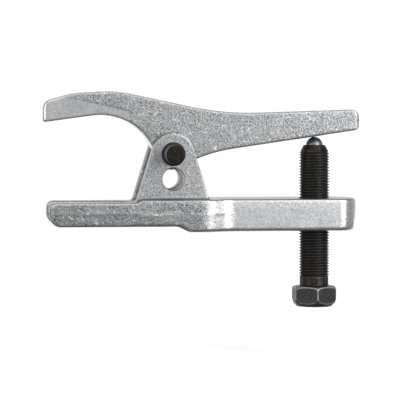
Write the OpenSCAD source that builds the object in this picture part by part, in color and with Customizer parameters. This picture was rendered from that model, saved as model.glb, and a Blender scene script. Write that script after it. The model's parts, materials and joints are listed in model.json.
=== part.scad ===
// Rocker puller for the tapered studs of ball joints.
// The slotted fork goes round the stud under the joint, the beak of the lever sits on the other side,
// and turning the screw lifts the lever's tail, so that fork and beak squeeze the stud out of its taper.
// Frame: the origin is the centre of the notch at the fork's upper face, +X runs along the arm to the
// screw, +Z points up to the beak, and the tool is nearly symmetric about the plane y = 0.

/* [Fork] */
// Width across the two tines
fork_w = 45; // [40:0.5:56]
// Thickness of the fork plate
fork_t = 12.5; // [10.5:0.5:16]
// Width of the slot between the tines, which is the diameter of the notch that ends it
slot_w = 20; // [14:0.5:24]
// Length of the tines, from the notch's centre to their tips
tine_l = 33; // [24:1:45]

/* [Arm and boss] */
// Width of the arm and its boss
arm_w = 34; // [31:0.5:39]
// How far the arm stands above the fork's upper face
arm_rise = 1.6; // [0.5:0.1:3]
// How far the arm reaches below the fork's underside
arm_drop = 2.9; // [0.5:0.1:6]
// Radius of the boss's round end, about the screw's axis
boss_r = 22.3; // [20:0.1:30]
// Distance from the pivot to the screw's axis
reach = 77.2; // [66:0.2:95]

/* [Ears] */
// Distance from the notch's centre back to the pivot
pivot_back = 32; // [29:0.5:42]
// Height of the pivot above the fork's upper face
pivot_h = 25.2; // [23.4:0.1:32]
// Step down from the pivot to the spare hole, the seat for larger joints
hole_step = 13; // [12.8:0.1:16]
// Thickness of each ear
ear_t = 8; // [5:0.5:10]
// Gap between the ears
ear_gap = 18; // [12:0.5:20]
// Radius of an ear's top, about the pivot
ear_r = 11.2; // [9:0.1:14]
// How far each edge of an ear leans out from upright
ear_lean = 17; // [8:0.5:22]

/* [Rocker lever] */
// Clearance on each side of the lever, between the ears
lever_side_gap = 0.3; // [0.2:0.05:1]
// How far the beak reaches past the notch's centre
beak_l = 36.2; // [28:0.2:45]
// Height of the beak's underside above the fork, at its tip
jaw_h = 41.4; // [38:0.2:52]
// Rise of the beak's underside from its tip, in degrees
jaw_slope = 7.8; // [4:0.2:10]
// Depth of the beak at its tip
beak_t = 11.4; // [7:0.2:14]
// Depth of the lever over the throat, where it bends most
crest_t = 13.4; // [11:0.2:18]
// Radius of the throat, between the beak and the hub
throat_r = 30; // [25:0.5:36]
// Radius of the hub's underside, about the pivot
hub_r = 8.6; // [8:0.1:9.5]
// Height of the lever's waist above the pivot
waist_h = 21.4; // [18:0.2:26]
// How far the tail reaches past the screw's axis
tail_past = 23.6; // [16:0.2:32]
// Slope of the tail's underside, in degrees
tail_slope = 8.4; // [5:0.2:11]
// Depth of the tail at its end
tail_t = 11.4; // [8:0.2:15]

/* [Pivot pin] */
// Diameter of the pin
pin_d = 11.5; // [8:0.1:12.5]
// Radial clearance of the pin in the ears and the lever
pin_clear = 0.06; // [0.02:0.01:0.1]
// How much thinner the pin's free end is than the pin
pin_end_step = 1.5; // [0.8:0.1:3]
// How far the free end stands out of the ear
pin_end_l = 12; // [6:0.5:16]
// How far the pin's head stands out round the pin
pin_head_rim = 2.2; // [1.5:0.1:4]
// Height of the pin's head
pin_head_h = 4; // [2:0.5:5]
// Diameter of the snap ring's wire
ring_wire = 1.1; // [0.8:0.1:1.4]

/* [Pressure screw] */
// Nominal diameter of the thread
screw_d = 16; // [14:1:20]
// Pitch of the thread
pitch = 1.5; // [1:0.25:2]
// Radial clearance of the screw in the boss
screw_clear = 0.06; // [0.03:0.01:0.1]
// Height of the thrust ball's centre above the pivot, with the screw as modelled
ball_rise = 4.3; // [2.5:0.1:6]
// Diameter of the thrust ball
ball_d = 9; // [7:0.5:11]
// Rim of the screw's nose round the ball
nose_rim = 1.2; // [0.6:0.1:1.6]
// Threaded length of the screw
thread_l = 66.4; // [56:0.2:85]
// Length of the plain neck over the head
neck_l = 4.5; // [2:0.5:8]
// Width of the hexagon across its flats
hex_af = 22; // [19:1:27]
// Height of the hexagon
hex_h = 10.8; // [8:0.2:16]

/* [Hidden] */
$fn = 96;
touch_gap = 0.02; // between faces that touch in the real tool
over = 1; // by which a cutting tool passes the face it cuts
fork_r = 3; // plan radius of a tine's outer corner
fork_top_r = 4; // edge radii of the tines' ends, seen from the side
fork_low_r = 6.2;
step_r = 3; // radii of the steps between fork and arm
rise_run = 2.6; // length of the step up to the arm
drop_run = 6; // length of the step down to the arm's underside
drop_back = 2; // where that step starts, past the pivot
taper_l = 11; // length of the taper from fork width to arm width
taper_r = 16; // radii of its two bends
taper_lead = 0.9; // how far it starts before the ears' feet end
boss_corner_r = 8; // radius between the arm's sides and the boss's end
boss_edge_r = [1.2, 3, 2.5]; // edge radii of the boss's end: upper, middle, lower
boss_draft = [0.8, 1.6]; // how far the boss's end leans in, above and below its parting line
part_depth = 4.6; // depth of that parting line below the arm's upper face
ear_root = 5; // how far the ears reach down into the arm
waist_back = 28; // place of the lever's waist, past the pivot
crest_at = [8, -15]; // places of the two bends over the throat, from the throat's centre
crest_fall = 1.4; // by which the second lies lower
root_r = 80; // radius under the lever's tail, next to the hub
waist_r = 150; // radii of the lever's upper side
crest_r = [60, 45];
tail_r = [3.5, 5]; // corner radii of the tail's end, lower and upper
beak_r = [1.3, 6]; // and of the beak's tip
pin_chamfer = 0.9;
head_chamfer = 1;
ring_bite = 0.2; // by which the snap ring lies in its groove
ring_split = 40; // opening of the snap ring, in degrees
seat_clear = 0.03; // between the thrust ball and its seat
seat_rim = 0.2; // by which the seat reaches past the ball's middle
nose_l = 4.3; // length of the cone at the screw's nose
neck_clear = 0.35; // by which the plain neck is thinner than the thread
hex_top_flat = 0.5; // how far the hexagon's round upper face stays inside its flats
hex_top_fall = 1.6; // depth of the chamfer there, at the corners
hex_low_flat = 1.7; // the same two sizes at its free end
hex_low_fall = 4.9;

// Heights, lengths and radii that follow
arm_top = arm_rise;
arm_low = -fork_t - arm_drop;
body_h = arm_top - arm_low;
ear_y = ear_gap / 2 + ear_t;
ear_foot = (ear_r + pivot_h * sin(ear_lean)) / cos(ear_lean);
screw_x = pivot_back + reach;
ball_z = pivot_h + ball_rise;
ball_r = ball_d / 2;
pin_r = pin_d / 2;
pin_end_r = pin_r - pin_end_step / 2;
hole_r = pin_r + pin_clear;
screw_r = screw_d / 2;
thread_depth = 0.54 * pitch;
lever_t = ear_gap - 2 * lever_side_gap;
nose_z = ball_z + seat_rim;
thread_top = nose_z - nose_l;
thread_low = thread_top - thread_l;
head_top = thread_low - neck_l;
ring_y = -ear_y - touch_gap - ring_wire / 2;
ring_r = pin_end_r + ring_wire / 2 - ring_bite;

// Points along an arc in the plane, from angle a0 to a1
function arc(c, r, a0, a1, n = 12) =
    [for (i = [0:n]) let (a = a0 + (a1 - a0) * i / n) c + r * [cos(a), sin(a)]];
function unit(v) = v / norm(v);
// Corner b of a path a-b-c, rounded by radius r
function rounded(a, b, c, r) =
    let (u = unit(a - b), w = unit(c - b), half = acos(u * w) / 2,
         centre = b + unit(u + w) * r / sin(half),
         from = b + u * r / tan(half) - centre, to = b + w * r / tan(half) - centre,
         a0 = atan2(from.y, from.x), turn = atan2(to.y, to.x) - a0,
         sweep = turn > 180 ? turn - 360 : turn < -180 ? turn + 360 : turn)
    arc(centre, r, a0, a0 + sweep, max(3, ceil(abs(sweep) / 6)));
// Closed outline through corners [[x, y], radius]
function outline(corners) =
    let (n = len(corners))
    [for (i = [0:n - 1])
        each rounded(corners[(i + n - 1) % n][0], corners[i][0], corners[(i + 1) % n][0], corners[i][1])];
function heading(from, to) = atan2(to.y - from.y, to.x - from.x);
function mirrored(points) = [for (i = [len(points) - 1:-1:0]) [points[i].x, -points[i].y]];

// Solid of a side outline (x, z), of thickness t about y = 0
module side_plate(points, t) {
    rotate([90, 0, 0]) linear_extrude(t, center = true) polygon(points);
}

// Cylinder along Y from y0 to y1 about the axis (x, z)
module cross_rod(x, z, r, y0, y1) {
    translate([x, y1, z]) rotate([90, 0, 0]) cylinder(r = r, h = y1 - y0);
}

// ---- forged body: fork, ears, arm and threaded boss in one piece ----

// One side of the plan, from the slot's mouth round the tine and along to the boss's end
function plan_side() =
    let (fork = fork_w / 2, arm = arm_w / 2, taper_x = pivot_back + ear_foot - taper_lead,
         corner = [screw_x + sqrt(pow(boss_r - boss_corner_r, 2) - pow(arm - boss_corner_r, 2)),
             arm - boss_corner_r],
         corner_a = heading([screw_x, 0], corner))
    concat(
        rounded([-tine_l, 0], [-tine_l, fork], [0, fork], fork_r),
        rounded([0, fork], [taper_x, fork], [taper_x + taper_l, arm], taper_r),
        rounded([taper_x, fork], [taper_x + taper_l, arm], [screw_x, arm], taper_r),
        arc(corner, boss_corner_r, 90, corner_a, 8),
        arc([screw_x, 0], boss_r, corner_a, 0, 10));

module body_plan() {
    side = plan_side();
    polygon(concat(side, mirrored(side)));
}

function body_side() =
    let (end = screw_x + boss_r, rise_x = pivot_back - ear_foot, drop_x = pivot_back + drop_back)
    outline([
        [[-tine_l, 0], fork_top_r], [[rise_x, 0], step_r], [[rise_x + rise_run, arm_top], step_r],
        [[end - boss_draft[0], arm_top], boss_edge_r[0]],
        [[end, arm_top - part_depth], boss_edge_r[1]],
        [[end - boss_draft[1], arm_low], boss_edge_r[2]],
        [[drop_x + drop_run, arm_low], step_r], [[drop_x, -fork_t], step_r],
        [[-tine_l, -fork_t], fork_low_r]]);

// Ear outline: a round top about the pivot on two leaning edges, down into the arm
function ear_side() =
    let (foot = ear_foot + ear_root * tan(ear_lean))
    concat(arc([pivot_back, pivot_h], ear_r, ear_lean, 180 - ear_lean, 28),
        [[pivot_back - foot, -ear_root], [pivot_back + foot, -ear_root]]);

module forged_body() {
    floor = arm_low - over;
    through = body_h + 2 * over;
    color([0.62, 0.63, 0.64]) difference() {
        union() {
            intersection() {
                translate([0, 0, floor]) linear_extrude(through) body_plan();
                side_plate(body_side(), fork_w + 2 * over);
            }
            difference() {
                side_plate(ear_side(), 2 * ear_y);
                translate([pivot_back - 2 * ear_foot, -ear_gap / 2, arm_top])
                    cube([4 * ear_foot, ear_gap, pivot_h + ear_r]);
            }
        }
        // slot and notch for the stud
        translate([0, 0, floor]) cylinder(d = slot_w, h = through);
        translate([-tine_l - over, -slot_w / 2, floor]) cube([tine_l + over, slot_w, through]);
        // pivot hole and spare hole
        for (drop = [0, hole_step])
            cross_rod(pivot_back, pivot_h - drop, hole_r, -ear_y - over, ear_y + over);
        // bore of the boss, at the thread's clearance diameter
        translate([screw_x, 0, floor]) cylinder(r = screw_r + screw_clear, h = through);
    }
}

// ---- rocker lever ----

// Centre of the circle of radius r that lies under the line through p at a slope and touches it,
// and touches the circle of radius h about c from outside, on the side (-1 or 1) given
function blend_centre(p, slope, r, c, h, side) =
    let (along = [cos(slope), sin(slope)], q = p + r * [sin(slope), -cos(slope)] - c, b = q * along)
    c + q + along * (-b + side * sqrt(b * b - q * q + pow(r + h, 2)));

function lever_side() =
    let (pivot = [pivot_back, pivot_h], tip = [-beak_l, jaw_h],
         // the tail's underside lies on the thrust ball
         on_ball = [screw_x, ball_z + (ball_r + touch_gap) / cos(tail_slope)],
         tail_low = on_ball + tail_past * [1, tan(tail_slope)],
         tail_top = tail_low + [0, tail_t],
         throat = blend_centre(tip, jaw_slope, throat_r, pivot, hub_r, -1),
         root = blend_centre(on_ball, tail_slope, root_r, pivot, hub_r, 1),
         tip_top = tip + [0, beak_t],
         crest_z = throat.y + throat_r + crest_t,
         crest = [throat.x + crest_at[0], crest_z],
         crest_end = [throat.x + crest_at[1], crest_z - crest_fall],
         waist = pivot + [waist_back, waist_h])
    concat(
        arc(throat, throat_r, 90 + jaw_slope, heading(throat, pivot), 20),
        arc(pivot, hub_r, heading(throat, pivot) + 180, heading(pivot, root) + 360, 16),
        arc(root, root_r, heading(root, pivot), 90 + tail_slope, 8),
        rounded(on_ball, tail_low, tail_top, tail_r[0]),
        rounded(tail_low, tail_top, waist, tail_r[1]),
        rounded(tail_top, waist, crest, waist_r),
        rounded(waist, crest, crest_end, crest_r[0]),
        rounded(crest, crest_end, tip_top, crest_r[1]),
        rounded(crest_end, tip_top, tip, beak_r[1]),
        rounded(tip_top, tip, tip + [cos(jaw_slope), sin(jaw_slope)], beak_r[0]));

module rocker_lever() {
    color([0.66, 0.67, 0.68]) difference() {
        side_plate(lever_side(), lever_t);
        cross_rod(pivot_back, pivot_h, hole_r, -lever_t, lever_t);
    }
}

// ---- pivot pin and its snap ring ----

module pivot_pin() {
    // profile turned about the pin's axis: radius against distance from the head's outer face
    head_y = ear_y + touch_gap + pin_head_h;
    shank_l = head_y + ear_y;
    groove_l = ring_wire + 3 * touch_gap;
    end_l = shank_l + pin_end_l;
    head_r = pin_r + pin_head_rim;
    groove_r = ring_r - ring_wire / 2 - touch_gap;
    color([0.16, 0.16, 0.17]) translate([pivot_back, head_y, pivot_h]) rotate([90, 0, 0]) rotate_extrude()
        polygon([[0, 0], [head_r - head_chamfer, 0], [head_r, head_chamfer], [head_r, pin_head_h],
            [pin_r, pin_head_h], [pin_r, shank_l],
            [groove_r, shank_l], [groove_r, shank_l + groove_l],
            [pin_end_r, shank_l + groove_l], [pin_end_r, end_l - pin_chamfer],
            [pin_end_r - pin_chamfer, end_l], [0, end_l]]);
}

module snap_ring() {
    color([0.1, 0.1, 0.11]) translate([pivot_back, ring_y, pivot_h]) rotate([90, 0, 0])
        rotate([0, 0, -90 + ring_split / 2]) rotate_extrude(angle = 360 - ring_split)
            translate([ring_r, 0]) circle(d = ring_wire, $fn = 24);
}

// ---- pressure screw and thrust ball ----

// Hexagon with a corner towards -Y, chamfered at both ends
module hex_head() {
    corner_r = hex_af / 2 / cos(30);
    low = head_top - hex_h;
    intersection() {
        translate([0, 0, low]) rotate([0, 0, 30]) cylinder(r = corner_r, h = hex_h, $fn = 6);
        rotate_extrude() polygon([
            [0, head_top], [hex_af / 2 - hex_top_flat, head_top],
            [corner_r, head_top - hex_top_fall], [corner_r, low + hex_low_fall],
            [hex_af / 2 - hex_low_flat, low], [0, low]]);
    }
}

module pressure_screw() {
    turns = floor(thread_l / pitch) - 1;
    run_out = thread_top - turns * pitch;
    neck_r = screw_r - neck_clear;
    // the thread is drawn as rings, one for each turn
    rings = [for (i = [0:turns - 1]) each [
        [screw_r, thread_top - i * pitch], [screw_r - thread_depth, thread_top - (i + 0.5) * pitch]]];
    color([0.13, 0.12, 0.12]) translate([screw_x, 0, 0]) difference() {
        union() {
            rotate_extrude() polygon(concat(
                [[0, nose_z], [ball_r + nose_rim, nose_z]], rings,
                [[screw_r, run_out], [screw_r, (run_out + thread_low) / 2], [neck_r, thread_low],
                 [neck_r, head_top - over], [0, head_top - over]]));
            hex_head();
        }
        translate([0, 0, ball_z]) sphere(r = ball_r + seat_clear);
    }
}

module thrust_ball() {
    color([0.3, 0.3, 0.31]) translate([screw_x, 0, ball_z]) sphere(r = ball_r);
}

forged_body();
rocker_lever();
pivot_pin();
snap_ring();
pressure_screw();
thrust_ball();
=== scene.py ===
# Rocker puller for ball joint studs: two plated drop forgings, a blackened screw and pin, a steel ball.
# Shapes are worked out in millimetres, in the frame's own axes: +X to the screw, +Y away, +Z up.
import json
import math
from itertools import product

import bmesh
import bpy
import numpy as np
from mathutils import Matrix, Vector, noise


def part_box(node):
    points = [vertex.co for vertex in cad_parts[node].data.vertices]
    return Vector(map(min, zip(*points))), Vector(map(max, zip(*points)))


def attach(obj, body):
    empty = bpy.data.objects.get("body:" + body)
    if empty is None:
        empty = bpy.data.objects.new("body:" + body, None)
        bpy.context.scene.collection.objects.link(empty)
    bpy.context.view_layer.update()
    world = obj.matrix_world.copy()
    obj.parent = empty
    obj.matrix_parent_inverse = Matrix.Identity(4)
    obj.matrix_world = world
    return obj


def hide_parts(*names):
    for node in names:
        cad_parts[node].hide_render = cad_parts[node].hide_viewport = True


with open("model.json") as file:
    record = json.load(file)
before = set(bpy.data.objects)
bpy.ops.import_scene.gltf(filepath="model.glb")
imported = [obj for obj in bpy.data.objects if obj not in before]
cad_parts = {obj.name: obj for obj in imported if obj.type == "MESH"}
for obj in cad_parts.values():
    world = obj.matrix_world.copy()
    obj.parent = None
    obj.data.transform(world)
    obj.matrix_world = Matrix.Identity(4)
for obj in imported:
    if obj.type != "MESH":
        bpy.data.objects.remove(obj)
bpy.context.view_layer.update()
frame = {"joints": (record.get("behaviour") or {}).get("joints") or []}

MM = 0.001


def corners_of(node):
    return [np.array(corner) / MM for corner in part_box(node)]


def joint_named(name):
    return next(joint for joint in frame["joints"] if joint["name"] == name)


def axis_of(name):
    return np.array(joint_named(name)["pos_m"]) / MM


# ---- sizes ----

body_lo, body_hi = corners_of("forged_body")
lever_lo, lever_hi = corners_of("rocker_lever")
pin_lo, pin_hi = corners_of("pivot_pin")
ring_lo, ring_hi = corners_of("snap_ring")
screw_lo, screw_hi = corners_of("pressure_screw")
ball_lo, ball_hi = corners_of("thrust_ball")
pivot_x, _, pivot_z = axis_of("lever_pivot")
screw_x = axis_of("screw_spin")[0]
PIVOT = np.array([pivot_x, pivot_z])

# forged body
tine_tip, boss_end, arm_low, fork_half = body_lo[0], body_hi[0], body_lo[2], body_hi[1]
ear_r = body_hi[2] - pivot_z
fork_low = -12.5
arm_top = 1.6
arm_half = 17
slot_r = 10
ear_in, ear_out = 9, 17
ear_lean = math.radians(17)
ear_foot = (ear_r + pivot_z * math.sin(ear_lean)) / math.cos(ear_lean)
ear_root = 5
ear_edge_r, ear_fillet_r = 0.4, 1.3
hole_step = 13
boss_r = boss_end - screw_x
boss_corner_r = 8
taper_l = 11
taper_r = 16
taper_early = 0.9  # how far before the ears' far foot the fork starts to taper
tine_corner_in, tine_corner_out = 2.5, 3
part_line = -5.7  # height at which the two halves of the forging die met, along the fork
boss_part_line = -3
fork_draft, arm_draft, ear_draft = 0.02, 0.024, 0.02  # slopes that let the forging leave its die

# rocker lever
beak_tip, tail_end, lever_half = lever_lo[0], lever_hi[0], lever_hi[1]
jaw_z = 41.4
jaw_slope = math.radians(7.8)
beak_t = 11.4
crest_t = 13.4
throat_r = 30
hub_r = 8.6
waist = [28, 21.4]
tail_slope = math.radians(8.4)
tail_t = 11.4
lever_corner_r, lever_edge_r = 3.2, 1.3
lever_draft = 0.015
root_r = 80  # under side of the lever between hub and ball
back_r, crest_r, beak_r, lip_r = 150, 60, [45, 6], 1.3
tail_r = [3.5, 5]
grind_depth = 0.16
grind_top, grind_slope, grind_end = 49.972, 0.232, 10  # the ground cheek's upper edge and its end

# pin, ring, screw and ball
pin_r = 5.75
pin_end_r = 5
hole_r = 5.81
ring_wire_r = (ring_hi[1] - ring_lo[1]) / 2
ring_r = (ring_hi[0] - ring_lo[0]) / 2 - ring_wire_r
ring_split = math.radians(40)
screw_r = 8
neck_r = 7.65
bore_r = 8.06
pitch = 1.5
thread_depth = 0.54 * pitch
nose_z, thread_top, thread_low, head_top = screw_hi[2], 25.4, -41, -45.5
hex_corner_r = screw_hi[1]
hex_flat_r = hex_corner_r * math.cos(math.radians(30))
ball_r = (ball_hi[2] - ball_lo[2]) / 2
ball_z = (ball_hi[2] + ball_lo[2]) / 2


# ---- outlines ----

def arc(centre, r, a0, a1, step=math.radians(3)):
    """Points along an arc from angle a0 to a1."""
    n = max(3, math.ceil(abs(a1 - a0) / step))
    return [np.array(centre) + r * np.array([math.cos(a), math.sin(a)]) for a in np.linspace(a0, a1, n + 1)]


def heading(start, end):
    return math.atan2(end[1] - start[1], end[0] - start[0])


def rounded(a, b, c, r):
    """Corner b of a path a-b-c, rounded by radius r."""
    a, b, c = (np.array(p, float) for p in (a, b, c))
    u, w = (a - b) / math.dist(a, b), (c - b) / math.dist(c, b)
    half = math.acos(u @ w) / 2
    centre = b + (u + w) / math.hypot(*(u + w)) * r / math.sin(half)
    a0 = heading(centre, b + u * r / math.tan(half))
    turn = heading(centre, b + w * r / math.tan(half)) - a0
    return arc(centre, r, a0, a0 + math.remainder(turn, 2 * math.pi))


def outline(corners):
    """Closed outline through corners ((x, y), radius)."""
    n = len(corners)
    return [p for i in range(n) for p in
            rounded(corners[i - 1][0], corners[i][0], corners[(i + 1) % n][0], corners[i][1])]


def blend_centre(p, slope, r, c, h, side):
    """Centre of a circle of radius r that touches the line through p from below and a circle, h about c."""
    along = np.array([math.cos(slope), math.sin(slope)])
    q = np.array(p) + r * np.array([math.sin(slope), -math.cos(slope)]) - c
    b = q @ along
    return c + q + along * (-b + side * math.sqrt(b * b - q @ q + (r + h) ** 2))


def body_plan():
    """Plan of the body, with the slot for the stud open between the tines."""
    bend = pivot_x + ear_foot - taper_early
    inner = arm_half - boss_corner_r
    corner = [screw_x + math.sqrt((boss_r - boss_corner_r) ** 2 - inner ** 2), inner]
    turn = heading([screw_x, 0], corner)
    side = [
        *arc([0, 0], slot_r, 0, math.pi / 2),
        *rounded([0, slot_r], [tine_tip, slot_r], [tine_tip, fork_half], tine_corner_in),
        *rounded([tine_tip, slot_r], [tine_tip, fork_half], [0, fork_half], tine_corner_out),
        *rounded([0, fork_half], [bend, fork_half], [bend + taper_l, arm_half], taper_r),
        *rounded([bend, fork_half], [bend + taper_l, arm_half], [screw_x, arm_half], taper_r),
        *arc(corner, boss_corner_r, math.pi / 2, turn),
        *arc([screw_x, 0], boss_r, turn, 0),
    ]
    return side + [np.array([x, -y]) for x, y in reversed(side)]


def body_side():
    """Side view of the body without its ears."""
    rise, drop = pivot_x - ear_foot, pivot_x + 2
    return outline([
        ([tine_tip, 0], 4), ([rise, 0], 3), ([rise + 2.6, arm_top], 3),
        ([boss_end - 0.8, arm_top], 1.2), ([boss_end, boss_part_line], 3), ([boss_end - 1.6, arm_low], 2.5),
        ([drop + 6, arm_low], 3), ([drop, fork_low], 3), ([tine_tip, fork_low], 6.2),
    ])


def lever_side():
    """Side view of the lever: throat, hub, the slope that rides on the ball, tail, back and beak."""
    tip = np.array([beak_tip, jaw_z])
    on_ball = np.array([screw_x, ball_z + (ball_r + 0.02) / math.cos(tail_slope)])
    past = tail_end - screw_x
    tail_low = on_ball + past * np.array([1, math.tan(tail_slope)])
    tail_top = tail_low + [0, tail_t]
    throat = blend_centre(tip, jaw_slope, throat_r, PIVOT, hub_r, -1)
    root = blend_centre(on_ball, tail_slope, root_r, PIVOT, hub_r, 1)
    tip_top = tip + [0, beak_t]
    crest = throat + [8, throat_r + crest_t]
    crest_end = throat + [-15, throat_r + crest_t - 1.4]
    back = PIVOT + waist
    to_hub, to_root = heading(throat, PIVOT), heading(PIVOT, root)
    return [
        *arc(throat, throat_r, math.pi / 2 + jaw_slope, to_hub),
        *arc(PIVOT, hub_r, to_hub + math.pi, to_root + 2 * math.pi),
        *arc(root, root_r, to_root + math.pi, math.pi / 2 + tail_slope),
        *rounded(on_ball, tail_low, tail_top, tail_r[0]),
        *rounded(tail_low, tail_top, back, tail_r[1]),
        *rounded(tail_top, back, crest, back_r),
        *rounded(back, crest, crest_end, crest_r),
        *rounded(crest, crest_end, tip_top, beak_r[0]),
        *rounded(crest_end, tip_top, tip, beak_r[1]),
        *rounded(tip_top, tip, tip + [math.cos(jaw_slope), math.sin(jaw_slope)], lip_r),
    ]


# ---- solids as distance fields: negative inside, in millimetres ----

def to_outline(points, u, v):
    """Distance of the places (u, v) from a closed outline."""
    best = np.full(np.broadcast(u, v).shape, np.inf)
    inside = np.zeros(best.shape, bool)
    for (au, av), (bu, bv) in zip(points, points[1:] + points[:1]):
        du, dv = bu - au, bv - av
        length2 = du * du + dv * dv
        if length2 < 1e-12:
            continue
        t = np.clip(((u - au) * du + (v - av) * dv) / length2, 0, 1)
        best = np.minimum(best, (u - au - t * du) ** 2 + (v - av - t * dv) ** 2)
        if dv:
            inside ^= ((av > v) != (bv > v)) & (u < du * (v - av) / dv + au)
    return np.where(inside, -1, 1) * np.sqrt(best)


def both(a, b, r):
    """What two solids share, its edges rounded by radius r."""
    return np.minimum(np.maximum(a, b), -r) + np.hypot(np.maximum(a + r, 0), np.maximum(b + r, 0))


def joined(a, b, r):
    """Two solids together, with a fillet of radius r where they meet."""
    return np.maximum(np.minimum(a, b), r) - np.hypot(np.maximum(r - a, 0), np.maximum(r - b, 0))


def ease(value, start, end):
    """0 before start, 1 after end, smooth between."""
    t = np.clip((value - start) / (end - start), 0, 1)
    return t * t * (3 - 2 * t)


def body_field(x, y, z):
    """The body before its holes: a slab with fork, arm and boss, and the two ears on it."""
    # the die halves are a little offset beside the ears; along the tines a trimmed flash line is left
    beside_ears = ease(x, 12, 18) * (1 - ease(x, 49, 55))
    on_arm = ease(x, 58, 66)
    flash_h, flash_half, die_offset = 0.16, 0.7, 0.34
    flash = np.exp(-((z - part_line) / flash_half) ** 2)
    offset = die_offset * ease(z, part_line - 0.2, part_line + 0.5)
    fork_inset = (1 - beside_ears) * flash_h * (1 - flash) + beside_ears * offset
    fork_inset = fork_inset + fork_draft * np.abs(z - part_line)
    arm_inset = arm_draft * np.abs(z - boss_part_line)
    plan = to_outline(body_plan(), x, y) + fork_inset * (1 - on_arm) + arm_inset * on_arm
    side = to_outline(body_side(), x, z)
    # the tines have the sharpest edges, and all lower edges are rounder
    edge_r = 0.8 + 0.2 * ease(x, 8, 16) + 0.4 * on_arm + 0.8 * ease(-z, 8, 10)
    slab = both(plan, side, edge_r)
    # an ear is a round head on two leaning edges
    along, up = x - pivot_x, z - pivot_z
    edges = np.abs(along) * math.cos(ear_lean) + up * math.sin(ear_lean)
    round_head = np.hypot(along, up)
    above = up * math.cos(ear_lean) > np.abs(along) * math.sin(ear_lean)
    ear_side = np.where(above, round_head, edges) - ear_r
    ear_mid, ear_half = (ear_in + ear_out) / 2, (ear_out - ear_in) / 2
    ear_side = ear_side + ear_draft * np.maximum(np.abs(y) - ear_mid, 0)
    ear = both(ear_side, np.abs(np.abs(y) - ear_mid) - ear_half, ear_edge_r)
    ear = np.maximum(ear, -ear_root - z)
    return joined(slab, ear, ear_fillet_r)


def lever_field(x, y, z):
    """The lever before its hole."""
    # the die halves met along the middle of the edge, where a trimmed flash line is left
    flash_h, flash_half = 0.12, 0.8
    flash = np.exp(-(y / flash_half) ** 2)
    side = to_outline(lever_side(), x, z) + flash_h * (1 - flash) + lever_draft * np.abs(y)
    middle, half = (beak_tip + tail_end) / 2, (tail_end - beak_tip) / 2
    plan = both(np.abs(x - middle) - half, np.abs(y) - lever_half, lever_corner_r)
    # the beak's cheeks are ground flat, a little below the forged skin
    ground = ease(on_cheek(x, z), -0.4, 0.4)
    return both(side, plan + grind_depth * ground, lever_edge_r)


def on_cheek(x, z):
    """Positive on the ground part of the beak's cheeks, which lies under a slanting line."""
    under = grind_top - grind_slope * x - z
    return np.minimum(under, grind_end - x)


def hexagon(apothem):
    return [np.array([math.sin(a), math.cos(a)]) * apothem / math.cos(math.pi / 6)
            for a in np.arange(6) * math.pi / 3]


def head_field(x, y, z):
    """The screw's hexagon head with the fillet to its neck."""
    along, low = x - screw_x, screw_lo[2]
    rho = np.hypot(along, y)
    soft = 0.35  # edge radius that the hot forming leaves
    half = [
        [hex_flat_r - 0.3, head_top], [hex_flat_r + 0.9, head_top - 0.5], [hex_corner_r, head_top - 1.6],
        [hex_corner_r, low + 4.3], [hex_flat_r + 0.5, low + 2.2], [hex_flat_r - 1.7, low],
    ]
    chamfered = outline([(p, 0.2) for p in half + [[-r, height] for r, height in reversed(half)]])
    head = both(to_outline(hexagon(hex_flat_r - soft), along, y) - soft, to_outline(chamfered, rho, z), 0.3)
    # this neck stays just inside the turned one, which covers it
    neck = np.maximum(rho - neck_r + 0.03, np.abs(z - head_top) - 2)
    return joined(head, neck, 1.0)


# ---- meshes ----

def grid(lo, hi, step):
    """The three axes of a grid of points that covers a box, each shaped to spread over the others."""
    axes = [np.arange(a - 2.3 * step, b + 2.5 * step, step) for a, b in zip(lo, hi)]
    return np.ix_(*axes)


def skin(field, lo, hi, step):
    """Points and quads of a field's zero surface: one point in each cell that the surface crosses."""
    axes = grid(lo, hi, step)
    value = np.broadcast_to(field(*axes), [a.size for a in axes])
    inside = value < 0
    n = np.array(inside.shape) - 1
    count = sum(inside[i:n[0] + i, j:n[1] + j, k:n[2] + k].astype(np.int8)
                for i, j, k in product((0, 1), repeat=3))
    mixed = (count > 0) & (count < 8)
    cells = np.argwhere(mixed)
    number = np.full(mixed.shape, -1)
    number[mixed] = np.arange(len(cells))
    total, hits, quads = np.zeros((len(cells), 3)), np.zeros(len(cells)), []
    for axis in range(3):
        along, across, third = np.roll(np.eye(3, dtype=int), -axis, axis=0)
        for j, k in product((0, 1), repeat=2):
            start = cells + j * across + k * third
            a, b = value[tuple(start.T)], value[tuple((start + along).T)]
            hit = (a < 0) != (b < 0)
            t = a[hit] / (a[hit] - b[hit])
            total[hit] += start[hit] - cells[hit] + t[:, None] * along
            hits[hit] += 1
        ahead = np.roll(inside, -1, axis)
        edges = np.argwhere(inside != ahead)
        ring = [edges, edges - across, edges - across - third, edges - third]
        faces = np.stack([number[tuple(c.T)] for c in ring], axis=1)
        outward = inside[tuple(edges.T)]
        quads.append(np.where(outward[:, None], faces, faces[:, ::-1]))
    origin = np.array([a.flat[0] for a in axes])
    return origin + step * (cells + total / hits[:, None]), np.concatenate(quads)


def piece(name, points, faces):
    """A mesh object from points in millimetres."""
    mesh = bpy.data.meshes.new(name)
    mesh.from_pydata((np.array(points) * MM).tolist(), [], [list(map(int, f)) for f in faces])
    mesh.validate()
    made = bpy.data.objects.new(name, mesh)
    bpy.context.scene.collection.objects.link(made)
    return made


def read(source, name, width):
    """One property of all points of a mesh, as rows of width numbers."""
    found = np.empty(len(source) * width, np.float32)
    source.foreach_get(name, found)
    return found.reshape(-1, width).astype(float)


def points_of(made):
    return read(made.data.vertices, "co", 3)


def normals_of(made):
    return read(made.data.vertex_normals, "vector", 3)


def values_of(made, name):
    return read(made.data.attributes[name].data, "value", 1)[:, 0]


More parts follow.
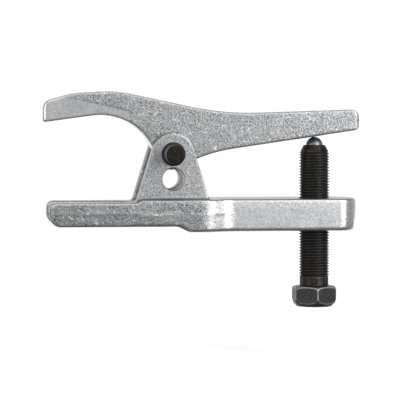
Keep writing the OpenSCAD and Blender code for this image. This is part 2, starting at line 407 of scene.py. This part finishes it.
def paint(made, name, values):
    """Sets a value at every point, which a material reads by name."""
    known = made.data.attributes.get(name)
    layer = known or made.data.attributes.new(name, "FLOAT", "POINT")
    layer.data.foreach_set("value", np.asarray(values, np.float32))


def dent(made, depth, size):
    """Sinks the surface by up to depth in soft hollows about size apart, as forging leaves it."""
    points, normals = points_of(made), normals_of(made)
    broad = np.array([noise.noise(Vector(p / (size * MM))) for p in points])
    fine = np.array([noise.noise(Vector(p / (0.37 * size * MM)) + Vector((9, 4, 7))) for p in points])
    sink = depth * np.clip(0.5 + 0.45 * broad + 0.25 * fine, 0, 1) * MM
    sunk = points - normals * sink[:, None]
    made.data.vertices.foreach_set("co", sunk.astype(np.float32).ravel())
    made.data.update()


def turned(name, profile, place, axis="y", columns=96):
    """A solid of revolution from (radius, distance along the axis), closed where the radius is 0."""
    angles = np.arange(columns) * 2 * math.pi / columns
    points, faces = [], []
    for r, along in profile:
        c, s = r * np.cos(angles), r * np.sin(angles)
        flat = np.full(columns, float(along))
        points += list(zip(c, flat, s) if axis == "y" else zip(s, c, flat))
    for i, j in product(range(len(profile) - 1), range(columns)):
        a, b = i * columns + j, i * columns + (j + 1) % columns
        faces.append([a, b, b + columns, a + columns])
    made = piece(name, np.array(points) + place, faces)
    welded(made)
    return made


def welded(made):
    """Merges points that lie on each other and turns every face outwards."""
    shape = bmesh.new()
    shape.from_mesh(made.data)
    bmesh.ops.remove_doubles(shape, verts=shape.verts, dist=1e-7)
    bmesh.ops.dissolve_degenerate(shape, edges=shape.edges, dist=1e-8)
    bmesh.ops.recalc_face_normals(shape, faces=shape.faces)
    shape.to_mesh(made.data)
    shape.free()


def combine(made, other, operation):
    """Cuts another solid out of a piece, or adds it, and removes the other."""
    step = made.modifiers.new(operation.lower(), "BOOLEAN")
    step.object, step.operation, step.solver = other, operation, "MANIFOLD"
    evaluated = made.evaluated_get(bpy.context.evaluated_depsgraph_get())
    mesh = bpy.data.meshes.new_from_object(evaluated)
    made.modifiers.clear()
    made.data = mesh
    bpy.data.objects.remove(other)


def cross_hole(made, x, z, r, faces, chamfer=0.5):
    """A hole along Y with a chamfer at each face; faces are the two distances |y| that bound the metal."""
    inner, outer = faces
    flare = r + chamfer
    half = [[r, inner + chamfer], [r, outer - chamfer], [flare + 3, outer + 3], [0, outer + 3]]
    if inner:
        half = [[flare, 0], [flare, inner], *half]
    profile = [[a, -b] for a, b in reversed(half)] + half
    combine(made, turned("cutter", profile, [x, 0, z]), "DIFFERENCE")


def shade(made, sharp=38):
    """Smooth shading with sharp edges kept, and from how a place is bent the value of wear, and painted
    shade in places bent inwards.
    """
    mesh = made.data
    mesh.shade_smooth()
    mesh.set_sharp_from_angle(angle=math.radians(sharp))
    points, normals = points_of(made), normals_of(made)
    ends = np.empty(len(mesh.edges) * 2, np.int32)
    mesh.edges.foreach_get("vertices", ends)
    a, b = ends.reshape(-1, 2).T
    gap = points[a] - points[b]
    bend = ((normals[a] - normals[b]) * gap).sum(1) / np.maximum((gap ** 2).sum(1), 1e-14)
    mean = np.zeros(len(points))
    links = np.bincount(a, minlength=len(points)) + np.bincount(b, minlength=len(points))
    for end in (a, b):
        mean += np.bincount(end, bend, len(points))
    curve = mean / np.maximum(links, 1) * MM  # 1 / radius in millimetres, shared by both directions
    paint(made, "wear_and_sheen", np.clip((curve - 0.2) / 0.4, 0, 1))
    # painted shade: the more a place is bent inwards, the darker it is painted, as shade in a hollow
    paint(made, "painted_shade", np.clip((-curve - 0.1) / 0.4, 0, 1))


# ---- pieces ----

def make_body():
    """The body forging, with its holes, where it is scaly and rubbed, and painted shade on its upper faces,
    in its hollows and along the ears' edges towards the screw.
    """
    step = 0.54
    made = piece("body_forging", *skin(body_field, body_lo, body_hi, step))
    dent(made, 0.07, 5)
    for drop in (0, hole_step):
        cross_hole(made, pivot_x, pivot_z - drop, hole_r, (ear_in, ear_out))
    chamfer = 1.2
    flare = bore_r + chamfer
    bore = [[0, arm_low - 3], [flare + 3, arm_low - 3], [flare, arm_low], [bore_r, arm_low + chamfer],
            [bore_r, arm_top - chamfer], [flare, arm_top], [flare + 3, arm_top + 3], [0, arm_top + 3]]
    combine(made, turned("cutter", bore, [screw_x, 0, 0], axis="z"), "DIFFERENCE")
    shade(made)
    x, _, z = points_of(made).T / MM
    on_ears = ease(z, -1, 1.5) * (1 - ease(x, 52, 58))
    paint(made, "scale", 1 - 0.5 * ease(x, 45, 55) - 0.15 * on_ears)
    paint(made, "ground", np.zeros(len(x)))
    # painted shade: upper faces, most of all the arm's, and the ears' edges towards the screw are painted
    # darker
    facing_up = ease(normals_of(made)[:, 2], 0.45, 0.8)
    across_ear = (x - pivot_x) * math.cos(ear_lean) + (z - pivot_z) * math.sin(ear_lean)
    ear_edge = on_ears * ease(across_ear, ear_r - 1.1, ear_r - 0.5)
    painted_shading = np.maximum((0.45 + 0.3 * ease(x, 50, 58)) * facing_up, 0.9 * ear_edge)
    paint(made, "painted_shade", np.maximum(painted_shading, values_of(made, "painted_shade")))
    # less rubbed colour on the ears, and none where shade is painted
    paint(made, "wear_and_sheen", values_of(made, "wear_and_sheen") * (1 - 0.6 * on_ears) * (1 - painted_shading))
    return made


def make_lever():
    """The lever forging, with its hole, and where it is scaly and ground."""
    step = 0.48
    made = piece("lever_forging", *skin(lever_field, lever_lo, lever_hi, step))
    dent(made, 0.08, 6)
    cross_hole(made, pivot_x, pivot_z, hole_r, (0, lever_half))
    shade(made)
    x, y, z = points_of(made).T / MM
    ground = ease(on_cheek(x, z), -0.3, 0.5) * (np.abs(y) > lever_half - 1.2)
    facing_aside = ease(np.abs(normals_of(made)[:, 1]), 0.3, 0.7)
    paint(made, "scale", (0.9 - 0.35 * ground) * (0.3 + 0.7 * facing_aside))
    paint(made, "ground", ground)
    return made


def make_pin():
    """The pin, with its head away from the viewer, its groove and its thin end."""
    head_y, end_y = pin_hi[1], pin_lo[1]
    head_r = (pin_hi[0] - pin_lo[0]) / 2
    under_head = head_y - 4
    ring_y = (ring_lo[1] + ring_hi[1]) / 2
    groove = 0.61  # half the groove's width
    groove_r = ring_r - ring_wire_r - 0.02
    chamfer = 0.45
    profile = [
        [0, head_y], [head_r - 1.6, head_y], *arc([head_r - 1, head_y - 1], 1, math.pi / 2, 0)[1:],
        [head_r, under_head + 0.3], [head_r - 0.3, under_head], [pin_r, under_head],
        [pin_r, -ear_out], [groove_r, -ear_out], [groove_r, ring_y - groove],
        [pin_end_r - 0.15, ring_y - groove], [pin_end_r, ring_y - groove - 0.15],
        [pin_end_r, end_y + chamfer + 0.1], [pin_end_r - 0.1, end_y + chamfer - 0.1],
        [pin_end_r - chamfer + 0.1, end_y + 0.1], [pin_end_r - chamfer - 0.1, end_y],
        [pin_end_r - chamfer - 0.5, end_y], [0, end_y],
    ]
    made = turned("pin_turned", profile, [pivot_x, 0, pivot_z])
    shade(made, 30)
    # painted sheen: the side of the thin end, from the snap ring to the chamfer, is painted a lighter grey
    # all round
    x, y, z = points_of(made).T / MM
    on_side = np.hypot(x - pivot_x, z - pivot_z) > pin_end_r - 0.2
    rubbed_and_sheen = on_side & (y < ring_y) & (y > end_y + chamfer)
    paint(made, "wear_and_sheen", 0.6 * rubbed_and_sheen)
    paint(made, "forged", np.zeros(len(x)))
    return made


def make_ring():
    """Snap ring: a bent wire with a gap below, its cut ends a little rounded."""
    wire_sides, columns = 16, 80
    start = -math.pi / 2 + ring_split / 2
    bend = np.linspace(start, start + 2 * math.pi - ring_split, columns)
    r = np.full(columns, ring_wire_r)
    r[[0, -1]] *= 0.75
    around = np.arange(wire_sides) * 2 * math.pi / wire_sides
    out = ring_r + np.outer(r, np.cos(around))
    aside = np.outer(r, np.sin(around))
    points = np.stack([out * np.cos(bend)[:, None], aside, out * np.sin(bend)[:, None]], -1)
    faces = [list(range(wire_sides)), list(range((columns - 1) * wire_sides, columns * wire_sides))]
    for i, j in product(range(columns - 1), range(wire_sides)):
        a, b = i * wire_sides + j, i * wire_sides + (j + 1) % wire_sides
        faces.append([a, b, b + wire_sides, a + wire_sides])
    place = [pivot_x, (ring_lo[1] + ring_hi[1]) / 2, pivot_z]
    made = piece("ring_wire", points.reshape(-1, 3) + place, faces)
    welded(made)
    shade(made, 50)
    paint(made, "forged", np.zeros(len(made.data.vertices)))
    paint(made, "wear_and_sheen", 0.1 * values_of(made, "wear_and_sheen"))
    return made


def thread_piece():
    """The screw from neck to nose: a true helical thread, run out at the neck, and the ball's seat."""
    columns = 96
    # one pitch, as shares of the pitch along it and of the thread's depth: crest, flank, root, flank
    shares = [(0, 0), (0.115, 0), (0.14, 0.06), (0.42, 0.94),
              (0.45, 1), (0.67, 1), (0.7, 0.94), (0.975, 0.06)]
    top = nose_z - 2.5  # above it the cone has passed the thread's root
    cone_r = ball_r + 1.2
    turns = math.ceil((top - thread_low) / pitch) + 2
    rows = [(turn + u, depth) for turn in range(turns) for u, depth in shares]
    angles = np.arange(columns) * 2 * math.pi / columns
    helix = np.array([u for u, _ in rows])[:, None] - 1 + angles / (2 * math.pi)
    z = np.clip(thread_low + pitch * helix, thread_low, top)
    depth = np.array([d for _, d in rows])[:, None]
    r = screw_r - thread_depth * depth
    r = neck_r + (r - neck_r) * ease(z, thread_low, thread_low + pitch)
    cone = cone_r + (nose_z - z) * (screw_r - cone_r) / (nose_z - thread_top)
    r = np.minimum(r, cone)
    low = [[0, head_top - 1], [neck_r, head_top - 1]]
    seat_r = ball_r + 0.03
    rim = math.asin((nose_z - ball_z) / seat_r)
    high = [[cone_r + 0.15, nose_z - 0.28], [cone_r - 0.1, nose_z],
            *arc([0, ball_z], seat_r, rim, -math.pi / 2, math.radians(8))[:-1], [0, ball_z - seat_r]]
    bands = [np.array([[r0, z0]] * columns) for r0, z0 in low]
    bands += list(np.stack([r, z], -1))
    bands += [np.array([[r0, z0]] * columns) for r0, z0 in high]
    grid_rz = np.array(bands)
    x, y = grid_rz[..., 0] * np.cos(angles), grid_rz[..., 0] * np.sin(angles)
    points = np.stack([x + screw_x, y, grid_rz[..., 1]], -1).reshape(-1, 3)
    first, last = len(low), len(low) + len(rows) - 1

    def seam(i):
        """Row that meets row i of the last column: a turn further up on the thread."""
        return min(i + len(shares), last) if first <= i <= last else i

    faces = []
    for i, j in product(range(len(bands) - 1), range(columns)):
        k = (j + 1) % columns
        near, far = (seam(i), seam(i + 1)) if k == 0 else (i, i + 1)
        faces.append([i * columns + j, near * columns + k, far * columns + k, (i + 1) * columns + j])
    made = piece("screw_thread", points, faces)
    welded(made)
    return made


def make_screw():
    """The screw: a hot-forged head joined to the threaded piece; its thread is hardly rubbed."""
    step = 0.22
    low = [screw_x - hex_corner_r, -hex_corner_r, screw_lo[2]]
    high = [screw_x + hex_corner_r, hex_corner_r, thread_low + 1]
    made = piece("screw_forged", *skin(head_field, low, high, step))
    dent(made, 0.05, 3)
    combine(made, thread_piece(), "UNION")
    shade(made, 33)
    on_head = ease(-points_of(made)[:, 2] / MM, -head_top - 0.3, -head_top)
    paint(made, "forged", on_head)
    paint(made, "wear_and_sheen", values_of(made, "wear_and_sheen") * (0.15 + 0.85 * on_head))
    return made


def make_ball():
    """Bearing ball with the small bright flat that the lever has pressed on its crown."""
    flat = math.radians(8)
    side = [[ball_r * math.sin(a), ball_r * math.cos(a)] for a in np.linspace(flat, math.pi, 48)[:-1]]
    profile = [[0, ball_r * math.cos(flat)], *side, [0, -ball_r]]
    made = turned("ball_ground", profile, [screw_x, 0, ball_z], axis="z", columns=72)
    shade(made, 20)
    return made


# ---- materials ----

def linear(code):
    """Linear colour from an sRGB hex code."""
    parts = [int(code[i:i + 2], 16) / 255 for i in (1, 3, 5)]
    return (*[c / 12.92 if c <= 0.04045 else ((c + 0.055) / 1.055) ** 2.4 for c in parts], 1)


def add(tree, kind, inputs=(), **settings):
    """Adds a node; inputs are pairs of a socket's name or number and a value or an output to link."""
    made = tree.nodes.new("ShaderNode" + kind)
    for name, value in settings.items():
        setattr(made, name, value)
    for key, value in dict(inputs).items():
        if isinstance(value, bpy.types.NodeSocket):
            tree.links.new(value, made.inputs[key])
        else:
            made.inputs[key].default_value = value
    return made


MIX_A, MIX_B, MIX_OUT = 6, 7, 2  # colour sockets of the Mix node


def new_material(name):
    """A material, its nodes, its shader, and the place on the piece in millimetres."""
    material = bpy.data.materials.new(name)
    material.use_nodes = True
    tree = material.node_tree
    shader = tree.nodes["Principled BSDF"]
    place = add(tree, "TexCoord").outputs["Object"]
    place = add(tree, "VectorMath", {0: place, "Scale": 1 / MM}, operation="SCALE").outputs[0]
    return material, tree, shader, place


def plated_forging():
    """Drop-forged steel, tumbled and zinc plated: a satin grey skin, grainy from the forging scale,
    brighter where edges were rubbed, with fine grinding lines on the beak's cheeks."""
    material, tree, shader, place = new_material("zinc_plated_drop_forging")
    scale = add(tree, "Attribute", attribute_name="scale").outputs["Fac"]
    ground = add(tree, "Attribute", attribute_name="ground").outputs["Fac"]
    wear_and_sheen = add(tree, "Attribute", attribute_name="wear_and_sheen").outputs["Fac"]
    # painted shade: how much darker a place is painted
    painted_shade = add(tree, "Attribute", attribute_name="painted_shade").outputs["Fac"]
    # sizes of the patterns in millimetres; scale grains and grinding lines of their true width, a few
    # tenths of a millimetre or less, would not show and are drawn coarser; lines are long upwards
    grain_mm, pit_mm, ding_mm, cloud_mm, line_mm, line_long_mm = 0.8, 1.9, 2.4, 9, 0.6, 1 / 0.06
    grain = add(tree, "TexNoise", {"Vector": place, "Scale": 1 / grain_mm, "Detail": 4, "Roughness": 0.75})
    grain = grain.outputs["Fac"]
    grain = add(tree, "MapRange", {"Value": grain, "From Min": 0.37, "From Max": 0.63}).outputs[0]
    pits = add(tree, "TexNoise", {"Vector": place, "Scale": 1 / pit_mm, "Detail": 2, "Roughness": 0.5})
    pits = pits.outputs["Fac"]
    pits = add(tree, "MapRange", {"Value": pits, "From Min": 0.35, "From Max": 0.65}).outputs[0]
    dings = add(tree, "TexNoise", {"Vector": place, "Scale": 1 / ding_mm, "Detail": 2, "Distortion": 0.6})
    dings = dings.outputs["Fac"]
    dings = add(tree, "MapRange", {"Value": dings, "From Min": 0.6, "From Max": 0.68, "To Max": 0.55})
    dings = add(tree, "Math", {0: dings.outputs[0], 1: scale}, operation="MULTIPLY").outputs[0]
    clouds = add(tree, "TexNoise", {"Vector": place, "Scale": 1 / cloud_mm, "Detail": 2}).outputs["Fac"]
    clouds = add(tree, "MapRange", {"Value": clouds, "From Min": 0.35, "From Max": 0.7, "To Max": 0.35})
    clouds = clouds.outputs[0]
    per_line = (1 / line_mm, 1 / line_mm, 1 / line_long_mm)
    stretch = add(tree, "VectorMath", {0: place, 1: per_line}, operation="MULTIPLY")
    lines = add(tree, "TexNoise", {"Vector": stretch.outputs[0], "Scale": 1, "Detail": 3}).outputs["Fac"]
    # texture height: grains and pits on the forged skin, lines on the ground one
    rough = add(tree, "Math", {0: grain, 1: pits}, operation="ADD").outputs[0]
    rough = add(tree, "Math", {0: rough, 1: scale}, operation="MULTIPLY").outputs[0]
    height = add(tree, "Mix", {0: ground, 2: rough, 3: lines}, data_type="FLOAT").outputs[0]
    # colour, from the skin outwards: scale, dings, clouds, rubbed edges, painted shade
    dark, light, calm = linear("#24272b"), linear("#aeb0b2"), linear("#f0f2f4")
    # the last grey is the painted shade, laid in hollows and on upper faces
    pale_metal, dusty, painted_shading = linear("#dcdddf"), linear("#9a9a98"), linear("#77787a")
    tone = add(tree, "Mix", {0: grain, MIX_A: dark, MIX_B: light}, data_type="RGBA").outputs[MIX_OUT]
    tone = add(tree, "Mix", {0: scale, MIX_A: calm, MIX_B: tone}, data_type="RGBA").outputs[MIX_OUT]
    tone = add(tree, "Mix", {0: dings, MIX_A: tone, MIX_B: pale_metal}, data_type="RGBA").outputs[MIX_OUT]
    tone = add(tree, "Mix", {0: clouds, MIX_A: tone, MIX_B: dusty}, data_type="RGBA").outputs[MIX_OUT]
    rubbed_and_sheen = add(tree, "Math", {0: wear_and_sheen, 1: 0.8}, operation="MULTIPLY").outputs[0]
    tone = add(tree, "Mix", {0: rubbed_and_sheen, MIX_A: tone, MIX_B: pale_metal}, data_type="RGBA").outputs[MIX_OUT]
    # painted shade
    tone = add(tree, "Mix", {0: painted_shade, MIX_A: tone, MIX_B: painted_shading}, data_type="RGBA").outputs[MIX_OUT]
    tree.links.new(tone, shader.inputs["Base Color"])
    shader.inputs["Metallic"].default_value = 1
    polish = add(tree, "Math", {0: wear_and_sheen, 1: -0.08}, operation="MULTIPLY").outputs[0]
    gloss = add(tree, "MapRange", {"Value": height, "To Min": 0.25, "To Max": 0.42}).outputs[0]
    gloss = add(tree, "Math", {0: gloss, 1: polish}, operation="ADD").outputs[0]
    tree.links.new(gloss, shader.inputs["Roughness"])
    bump = add(tree, "Bump", {"Height": height, "Strength": 0.6, "Distance": 0.09 * MM})
    tree.links.new(bump.outputs[0], shader.inputs["Normal"])
    return material


def black_oxide():
    """Heat-treated steel, blackened and oiled: near black with a brown cast, greyer and spotted where
    it was forged, grey where crests and corners rub, and a painted sheen of grey on the pin's thin end."""
    material, tree, shader, place = new_material("black_oxide_steel")
    wear_and_sheen = add(tree, "Attribute", attribute_name="wear_and_sheen").outputs["Fac"]
    forged = add(tree, "Attribute", attribute_name="forged").outputs["Fac"]
    fleck_mm, cloud_mm = 0.8, 4  # finer flecks would not show, so they are drawn this coarse
    fleck = add(tree, "TexNoise", {"Vector": place, "Scale": 1 / fleck_mm, "Detail": 3}).outputs["Fac"]
    cloud = add(tree, "TexNoise", {"Vector": place, "Scale": 1 / cloud_mm, "Detail": 2}).outputs["Fac"]
    black, brown, scaly = linear("#181718"), linear("#201a14"), linear("#383739")
    # the last grey also paints the sheen on the pin's thin end
    spot, pale_metal = linear("#4e4b4a"), linear("#9a9998")
    cloud = add(tree, "MapRange", {"Value": cloud, "From Min": 0.35, "From Max": 0.65}).outputs[0]
    tone = add(tree, "Mix", {0: cloud, MIX_A: black, MIX_B: brown}, data_type="RGBA").outputs[MIX_OUT]
    tone = add(tree, "Mix", {0: forged, MIX_A: tone, MIX_B: scaly}, data_type="RGBA").outputs[MIX_OUT]
    spotted = add(tree, "Math", {0: forged, 1: 0.5, 2: 0.25}, operation="MULTIPLY_ADD").outputs[0]
    spots = add(tree, "MapRange", {"Value": fleck, "From Min": 0.46, "From Max": 0.6}).outputs[0]
    spots = add(tree, "Math", {0: spots, 1: spotted}, operation="MULTIPLY").outputs[0]
    tone = add(tree, "Mix", {0: spots, MIX_A: tone, MIX_B: spot}, data_type="RGBA").outputs[MIX_OUT]
    # grey where crests and corners rub, and the pin's painted sheen
    worn_and_sheen = add(tree, "Math", {0: fleck, 1: 0.5}, operation="ADD").outputs[0]
    worn_and_sheen = add(tree, "Math", {0: worn_and_sheen, 1: wear_and_sheen}, operation="MULTIPLY", use_clamp=True).outputs[0]
    tone = add(tree, "Mix", {0: worn_and_sheen, MIX_A: tone, MIX_B: pale_metal}, data_type="RGBA").outputs[MIX_OUT]
    tree.links.new(tone, shader.inputs["Base Color"])
    shader.inputs["Metallic"].default_value = 0.85
    gloss = {"Value": fleck, "From Min": 0.3, "From Max": 0.7, "To Min": 0.38, "To Max": 0.55}
    tree.links.new(add(tree, "MapRange", gloss).outputs[0], shader.inputs["Roughness"])
    bump = add(tree, "Bump", {"Height": fleck, "Strength": 0.5, "Distance": 0.06 * MM})
    tree.links.new(bump.outputs[0], shader.inputs["Normal"])
    return material


def ball_steel():
    """Hardened chromium steel, ground and lapped: dark and glossy, with hair scratches from the lever."""
    material, tree, shader, place = new_material("hardened_ball_steel")
    # the scratches run along Y; true ones are hair thin, and are drawn coarser to show
    hair_mm, hair_long_mm = 0.25, 2
    per_hair = (1 / hair_mm, 1 / hair_long_mm, 1 / hair_mm)
    stretch = add(tree, "VectorMath", {0: place, 1: per_hair}, operation="MULTIPLY").outputs[0]
    hair = add(tree, "TexNoise", {"Vector": stretch, "Scale": 1, "Detail": 4}).outputs["Fac"]
    dark, light = linear("#66676b"), linear("#8f9094")
    tone = add(tree, "Mix", {0: hair, MIX_A: dark, MIX_B: light}, data_type="RGBA").outputs[MIX_OUT]
    tree.links.new(tone, shader.inputs["Base Color"])
    shader.inputs["Metallic"].default_value = 1
    gloss = {"Value": hair, "From Min": 0.3, "From Max": 0.7, "To Min": 0.36, "To Max": 0.5}
    tree.links.new(add(tree, "MapRange", gloss).outputs[0], shader.inputs["Roughness"])
    return material


PLATED, BLACKENED, LAPPED = plated_forging(), black_oxide(), ball_steel()
for make, node, body, finish_of, slot in (
    (make_body, "forged_body", "frame", PLATED, "plated_forging"),
    (make_lever, "rocker_lever", "lever", PLATED, "plated_forging"),
    (make_pin, "pivot_pin", "pin", BLACKENED, "black_oxide_steel"),
    (make_ring, "snap_ring", "pin", BLACKENED, "black_oxide_steel"),
    (make_screw, "pressure_screw", "screw", BLACKENED, "black_oxide_steel"),
    (make_ball, "thrust_ball", "ball", LAPPED, "hardened_ball_steel"),
):
    made = make()
    made.data.materials.clear()
    made.data.materials.append(finish_of)
    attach(made, body)
    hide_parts(node)


# ---- studio ----

MIDDLE = (0.0479, 0, 0.0006)  # middle of the tool, in metres


def make_floor():
    """A wide pale floor, low enough for the hexagon at the screw's lowest."""
    lowest = screw_lo[2] + joint_named("screw_travel")["range_m"][0] / MM
    made = turned("floor", [[0, 0], [4000, 0]], [screw_x, 0, lowest - 1], axis="z", columns=64)
    material = bpy.data.materials.new("matt_white_floor")
    material.use_nodes = True
    shader = material.node_tree.nodes["Principled BSDF"]
    shader.inputs["Base Color"].default_value = linear("#f4f4f4")
    shader.inputs["Roughness"].default_value = 0.9
    made.data.materials.append(material)
    made.visible_glossy = False


def make_world():
    """A small light tent as reflections see it: white behind and above, softer in front and at both
    sides, dim below. Matt surfaces see an even white."""
    world = bpy.data.worlds.new("light_tent")
    bpy.context.scene.world = world
    world.use_nodes = True
    tree = world.node_tree
    background = tree.nodes["Background"]
    direction = add(tree, "TexCoord").outputs["Generated"]
    split = add(tree, "SeparateXYZ", {0: direction})
    leaning = add(tree, "VectorMath", {0: direction, 1: (0, -0.5, 0.85)}, operation="DOT_PRODUCT")
    aside = add(tree, "Math", {0: split.outputs[0]}, operation="ABSOLUTE")
    # each panel: a part of the direction, where it starts and is full, and its light there
    panels = [
        (leaning.outputs["Value"], 0.55, 0.95, 0, 0.9),
        (split.outputs[1], 0.3, 0.99, 0, 1),
        (aside.outputs[0], 0.84, 0.99, 0, 0.35),
        (split.outputs[1], -0.5, -0.95, 0.2, 0.7),
    ]
    light = 0
    for value, start, full, low, high in panels:
        panel = {"Value": value, "From Min": start, "From Max": full, "To Min": low, "To Max": high}
        panel = add(tree, "MapRange", panel, interpolation_type="SMOOTHSTEP").outputs[0]
        light = add(tree, "Math", {0: light, 1: panel}, operation="ADD").outputs[0]
    glossy = add(tree, "LightPath").outputs["Is Glossy Ray"]
    light = add(tree, "Mix", {0: glossy, 2: 1.12, 3: light}, data_type="FLOAT").outputs[0]
    tree.links.new(light, background.inputs["Strength"])
    background.inputs["Color"].default_value = (1, 1, 1, 1)


def aimed(name, data, azimuth, elevation, distance):
    """An object that faces the tool's middle; azimuth 0 is in front, to the right is positive."""
    a, e = math.radians(azimuth), math.radians(elevation)
    away = Vector((math.sin(a) * math.cos(e), -math.cos(a) * math.cos(e), math.sin(e)))
    made = bpy.data.objects.new(name, data)
    made.location = Vector(MIDDLE) + away * distance
    made.rotation_mode = "QUATERNION"
    made.rotation_quaternion = away.to_track_quat("Z", "Y")
    bpy.context.scene.collection.objects.link(made)
    return made


def soft_box(name, azimuth, elevation, distance, size, watts):
    """Rectangular light, width and height in metres, that the camera does not see."""
    lamp = bpy.data.lights.new(name, "AREA")
    lamp.shape, lamp.size, lamp.size_y = "RECTANGLE", *size
    lamp.energy = watts
    aimed(name, lamp, azimuth, elevation, distance).visible_camera = False


def make_camera(azimuth=-6.8, elevation=2.3, distance=1.18, lens=200.4):
    data = bpy.data.cameras.new("camera")
    data.lens, data.sensor_width = lens, 36
    bpy.context.scene.camera = aimed("camera", data, azimuth, elevation, distance)


make_floor()
make_world()
soft_box("key", 40, 14, 0.95, (0.34, 0.7), 6)
soft_box("rim", -62, 8, 0.9, (0.2, 0.8), 2.5)
make_camera()
bpy.context.scene.view_settings.view_transform = "Standard"
